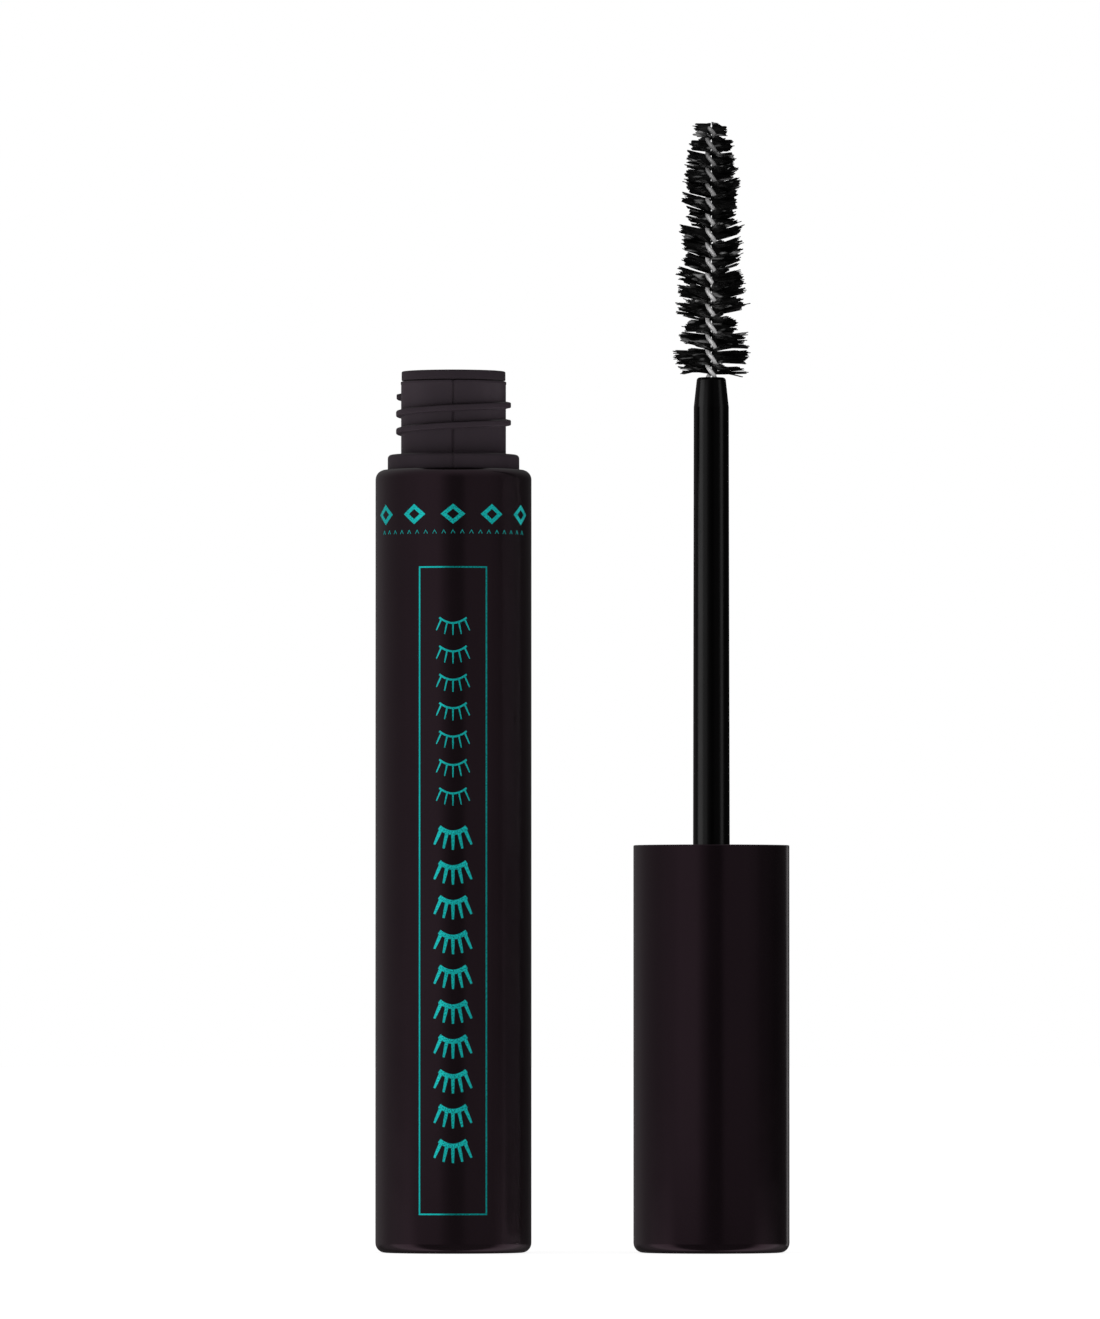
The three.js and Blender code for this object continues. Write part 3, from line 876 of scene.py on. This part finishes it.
def ribbon(points, widths, closed=False):
    """A flat strip along points of (distance round the case from its front, height), laid on the case."""
    path = [Vector(p) for p in points]
    count = len(path)
    left, right = [], []
    for i, point in enumerate(path):
        arriving = (point - path[i - 1]).normalized() if i or closed else None
        leaving = (path[(i + 1) % count] - point).normalized() if i < count - 1 or closed else None
        arriving = arriving or leaving
        leaving = leaving or arriving
        ahead = (arriving + leaving).normalized()
        across = Vector((-ahead.y, ahead.x)) * widths[i] / 2 / max(MITRE_LIMIT, ahead.dot(arriving))
        left.append(point + across)
        right.append(point - across)
    vertices, faces = [], []
    for radius in (CASE_R - FOIL_DEPTH, CASE_R + FOIL_PROUD):
        for side in (left, right):
            for along, height in side:
                angle = FRONT + along / CASE_R
                vertices.append(around(TUBE_AXIS, radius, angle, height))
    low_left, low_right, high_left, high_right = (n * count for n in range(4))
    for i in range(count if closed else count - 1):
        j = (i + 1) % count
        faces.append((high_left + i, high_right + i, high_right + j, high_left + j))
        faces.append((low_left + j, low_right + j, low_right + i, low_left + i))
        faces.append((low_left + i, high_left + i, high_left + j, low_left + j))
        faces.append((high_right + i, low_right + i, low_right + j, high_right + j))
    if not closed:
        faces.append((low_left, low_right, high_right, high_left))
        end = count - 1
        faces.append((high_left + end, high_right + end, low_right + end, low_left + end))
    return vertices, faces


def straight(start, end):
    """The points from start to end, close enough to follow the case. The end itself is left out."""
    start, end = Vector(start), Vector(end)
    steps = max(1, math.ceil((end - start).length / FOIL_STEP))
    return [tuple(start.lerp(end, step / steps)) for step in range(steps)]


def loop(corners, width):
    """A closed line of foil through corners."""
    points = []
    for corner, following in zip(corners, corners[1:] + corners[:1]):
        points += straight(corner, following)
    return ribbon(points, [width] * len(points), closed=True)


def closed_eye(middle, lid_width, lash_width, lash_length):
    """A closed lid, drawn as an arc that sags in the middle, with lashes that fan out below it."""
    lid_height = middle + lash_length / 2 + EYE_SAG / 2

    def lid_point(t):
        return Vector((EYE_HALF * t, lid_height - EYE_SAG * (1 - t * t)))

    lid = [tuple(lid_point(2 * step / EYE_STEPS - 1)) for step in range(EYE_STEPS + 1)]
    strips = [ribbon(lid, [lid_width] * len(lid))]
    for i in range(LASH_COUNT):
        t = LASH_SPAN * (2 * i / (LASH_COUNT - 1) - 1)
        foot = lid_point(t)
        tip = foot + Vector((math.sin(0.5 * t), -math.cos(0.5 * t))) * lash_length
        points = [tuple(foot), tuple(foot.lerp(tip, 0.5)), tuple(tip)]
        strips.append(ribbon(points, [lash_width, lash_width * 0.9, lash_width * 0.6]))
    return together(*strips)


def lozenge(middle):
    left, right = (middle - LOZENGE_HALF, LOZENGE_HEIGHT), (middle + LOZENGE_HALF, LOZENGE_HEIGHT)
    low, high = (middle, LOZENGE_HEIGHT - LOZENGE_UP), (middle, LOZENGE_HEIGHT + LOZENGE_UP)
    return loop([left, low, right, high], LOZENGE_LINE)


def chevron(middle):
    left, right = (middle - CHEVRON_HALF, CHEVRON_FOOT), (middle + CHEVRON_HALF, CHEVRON_FOOT)
    return ribbon([left, (middle, CHEVRON_FOOT + CHEVRON_UP), right], [CHEVRON_LINE] * 3)


def in_a_row(shape, count, step):
    """Copies of a shape, made by a function of its place, side by side and centred on the front."""
    return together(*[shape((i - (count - 1) / 2) * step) for i in range(count)])


def make_ornament():
    half = CASE_R * math.asin(FRAME_HIGH.x / CASE_R) - FOIL_LINE / 2
    low, high = FRAME_LOW.z + FOIL_LINE / 2, FRAME_HIGH.z - FOIL_LINE / 2
    border = loop([(-half, low), (half, low), (half, high), (-half, high)], FOIL_LINE)
    piece("foil_border", border, LINE_FOIL, "tube", ["foil_frame"], sharp_deg=30)

    bold = together(*[closed_eye(BOLD_FOOT + BOLD_STEP * i, **BOLD_EYE) for i in range(BOLD_COUNT)])
    fine = together(*[closed_eye(FINE_FOOT + FINE_STEP * i, **FINE_EYE) for i in range(FINE_COUNT)])
    lozenges = in_a_row(lozenge, LOZENGE_COUNT, LOZENGE_STEP)
    chevrons = in_a_row(chevron, CHEVRON_COUNT, CHEVRON_STEP)
    piece("foil_eyes_bold", bold, TEAL_FOIL, "tube", sharp_deg=30)
    piece("foil_eyes_fine", fine, TEAL_FOIL, "tube", sharp_deg=30)
    piece("foil_lozenges", lozenges, TEAL_FOIL, "tube", sharp_deg=30)
    piece("foil_chevrons", chevrons, TEAL_FOIL, "tube", sharp_deg=30)


# -------------------------------------------------------------------------- camera, light and floor

CAMERA_DISTANCE = 1500.0
EYE_HEIGHT = 26.0
AIM = (9.9, 60.8)  # the picture's middle: across from the tube's axis, and up
PICTURE_HEIGHT = 135.3  # what the picture's long side takes in at the tube

# Brightness of the surroundings: degrees from the camera's side, to the right, and brightness.
HORIZON = (
    (-180, 0.05),
    (-165, 0.12),
    (-150, 0.14),
    (-130, 0.19),
    (-90, 0.19),
    (-64, 0.24),
    (-45, 0.30),
    (-24, 0.30),
    (-10, 0.13),
    (-3, 0.05),
    (12, 0.035),
    (21, 0.15),
    (52, 0.15),
    (66, 0.12),
    (80, 0.06),
    (110, 0.02),
    (140, 0.03),
    (160, 0.04),
    (180, 0.05),
)
BELOW = (
    (-180, 0.04),
    (-150, 0.05),
    (-115, 0.20),
    (-95, 0.60),
    (-72, 0.60),
    (-50, 0.06),
    (60, 0.06),
    (85, 0.60),
    (110, 0.60),
    (130, 0.20),
    (155, 0.05),
    (180, 0.04),
)
SKY = 0.35  # brightness straight overhead
SKY_NARROWNESS = 1.6  # the higher it is, the nearer to overhead the sky stays
WARM = (1.0, 0.93, 0.96)
BELOW_START = 0.09  # how far below the horizon the lower panels start, as a sine
BELOW_RISE = 8  # how fast they take over from there


def make_camera():
    data = bpy.data.cameras.new("camera")
    data.sensor_fit = "AUTO"
    data.sensor_width = 36
    target = Vector((AIM[0], 0, AIM[1]))
    place = Vector((AIM[0], -CAMERA_DISTANCE, EYE_HEIGHT))
    data.lens = data.sensor_width * (target - place).length / PICTURE_HEIGHT
    data.clip_start, data.clip_end = 0.05, 20
    camera = bpy.data.objects.new("camera", data)
    camera.location = place * MM
    camera.rotation_euler = (target - place).to_track_quat("-Z", "Y").to_euler()
    bpy.context.scene.collection.objects.link(camera)
    bpy.context.scene.camera = camera


def make_world():
    """White behind the object. All other rays see soft panels at and below the horizon, and a pale sky."""
    world = bpy.data.worlds.new("studio")
    bpy.context.scene.world = world
    world.use_nodes = True
    tree = world.node_tree
    tree.nodes.clear()
    link = tree.links.new

    def node(kind, **settings):
        made = tree.nodes.new(kind)
        for key, value in settings.items():
            setattr(made, key, value)
        return made

    def arithmetic(operation, a, b=None):
        made = node("ShaderNodeMath", operation=operation)
        for socket, value in zip(made.inputs, (a, b)):
            if isinstance(value, bpy.types.NodeSocket):
                link(value, socket)
            elif value is not None:
                socket.default_value = value
        return made.outputs[0]

    direction = node("ShaderNodeSeparateXYZ")
    link(node("ShaderNodeTexCoord").outputs["Generated"], direction.inputs[0])
    towards_camera = arithmetic("MULTIPLY", direction.outputs["Y"], -1.0)
    azimuth = arithmetic("ARCTAN2", direction.outputs["X"], towards_camera)
    round_share = arithmetic("ADD", arithmetic("DIVIDE", azimuth, 2 * math.pi), 0.5)

    def panels(stops):
        ramp = node("ShaderNodeValToRGB")
        ramp.color_ramp.interpolation = "EASE"
        while len(ramp.color_ramp.elements) < len(stops):
            ramp.color_ramp.elements.new(0.5)
        for element, (degrees, brightness) in zip(ramp.color_ramp.elements, stops):
            element.position = degrees / 360 + 0.5
            element.color = (*[part * brightness for part in WARM], 1)
        link(round_share, ramp.inputs["Fac"])
        return ramp.outputs["Color"]

    above = arithmetic("POWER", arithmetic("MAXIMUM", direction.outputs["Z"], 0.0), SKY_NARROWNESS)
    depth = arithmetic("MULTIPLY", arithmetic("ADD", direction.outputs["Z"], BELOW_START), -BELOW_RISE)
    below = arithmetic("MINIMUM", arithmetic("MAXIMUM", depth, 0.0), 1.0)
    round_about = mixed(tree, below, panels(HORIZON), panels(BELOW))

    studio = node("ShaderNodeBackground")
    link(mixed(tree, above, round_about, SKY), studio.inputs["Color"])
    white = node("ShaderNodeBackground")
    white.inputs["Color"].default_value = (1, 1, 1, 1)
    chosen = node("ShaderNodeMixShader")
    link(node("ShaderNodeLightPath").outputs["Is Camera Ray"], chosen.inputs["Fac"])
    link(studio.outputs[0], chosen.inputs[1])
    link(white.outputs[0], chosen.inputs[2])
    link(chosen.outputs[0], node("ShaderNodeOutputWorld").inputs["Surface"])


LAMP_DISTANCE = 0.6
LAMP_AIM = 0.06  # the height that every lamp points at, in metres


def lamp_for(lit, name, degrees, height, size, watts, alone=False):
    """A lamp that reaches only some pieces. It stands round the wand, degrees from the camera's side.

    Its height above LAMP_AIM and its size are in metres. If the pieces are lit alone, nothing else comes
    between them and the lamp.
    """
    data = bpy.data.lights.new(name, "AREA")
    data.shape = "RECTANGLE"
    data.size, data.size_y = size
    data.energy = watts
    lamp = bpy.data.objects.new(name, data)
    turn = math.radians(degrees)
    middle = Vector((WAND_AXIS[0] * MM, 0, LAMP_AIM))
    away = Vector((math.sin(turn) * LAMP_DISTANCE, -math.cos(turn) * LAMP_DISTANCE, height))
    lamp.location = middle + away
    lamp.rotation_euler = (middle - lamp.location).to_track_quat("-Z", "Y").to_euler()
    lamp.visible_camera = False
    bpy.context.scene.collection.objects.link(lamp)
    reached = bpy.data.collections.new(f"lit_by_{name}")
    for piece_name in lit:
        reached.objects.link(bpy.data.objects[piece_name])
    lamp.light_linking.receiver_collection = reached
    if alone:
        lamp.light_linking.blocker_collection = reached
        data.cycles.use_multiple_importance_sampling = False


def make_lamps():
    """For each lamp: its pieces, its name, and its direction, height, size and power."""
    filaments = [f"filaments_{number:02d}" for number in range(1, TURNS * SIDES + 1)]
    foil_pieces = ["foil_border", "foil_eyes_bold", "foil_eyes_fine", "foil_lozenges"]
    lamp_for(["rod"], "left_strip", -75, 0.075, (0.40, 0.34), 1.1)
    lamp_for(["rod"], "left_fill", -42, 0.075, (0.30, 0.34), 0.25)
    lamp_for(["rod"], "right_strip", 70, 0.075, (0.20, 0.34), 0.32)
    lamp_for(["cap_case"], "cap_rim", 153, 0, (0.12, 0.3), 0.03)
    lamp_for(["case_shell"], "tube_side", 98, 0, (0.45, 0.4), 0.045, alone=True)
    lamp_for(["twisted_wire"], "wire_lamp", -20, 0.15, (0.5, 0.5), 1.6)
    lamp_for(filaments, "brush_lamp", -10, 0.2, (0.16, 0.1), 6.0)
    lamp_for(foil_pieces, "foil_lamp", -38, 0.03, (0.45, 0.3), 0.1)
    lamp_for(["foil_lozenges"], "foil_side", 105, 0.03, (0.4, 0.3), 0.12)


def make_floor(radius=4.0, glow=0.86):
    """A pale floor that glows a little, so that it stays pale where the light is weak."""
    mesh = bpy.data.meshes.new("floor")
    corners = [(-radius, -radius, 0), (radius, -radius, 0), (radius, radius, 0), (-radius, radius, 0)]
    mesh.from_pydata(corners, [], [(0, 1, 2, 3)])
    floor = bpy.data.objects.new("floor", mesh)
    bpy.context.scene.collection.objects.link(floor)
    material, _, shader = new_material("pale_floor")
    shader.inputs["Base Color"].default_value = (*grey(0.8), 1)
    shader.inputs["Roughness"].default_value = 1
    shader.inputs["Specular IOR Level"].default_value = 0
    shader.inputs["Emission Color"].default_value = (1, 1, 1, 1)
    shader.inputs["Emission Strength"].default_value = glow
    mesh.materials.append(material)
    floor.visible_glossy = False


def keep_out_of_gloss(*names):
    """Each half is lit as if it stood alone, so the tube doesn't show in the cap's gloss."""
    for name in names:
        bpy.data.objects[name].visible_glossy = False


bpy.context.scene.view_settings.view_transform = "Standard"
make_camera()
make_world()
make_floor()

make_case()
make_cap()
make_bottle()
make_wiper()
make_formula()
make_liner()
make_rod()
make_wire()
make_filaments()
make_ornament()
make_lamps()
keep_out_of_gloss("case_shell", "bottle", "formula", "foil_border", "foil_eyes_bold", "foil_eyes_fine")
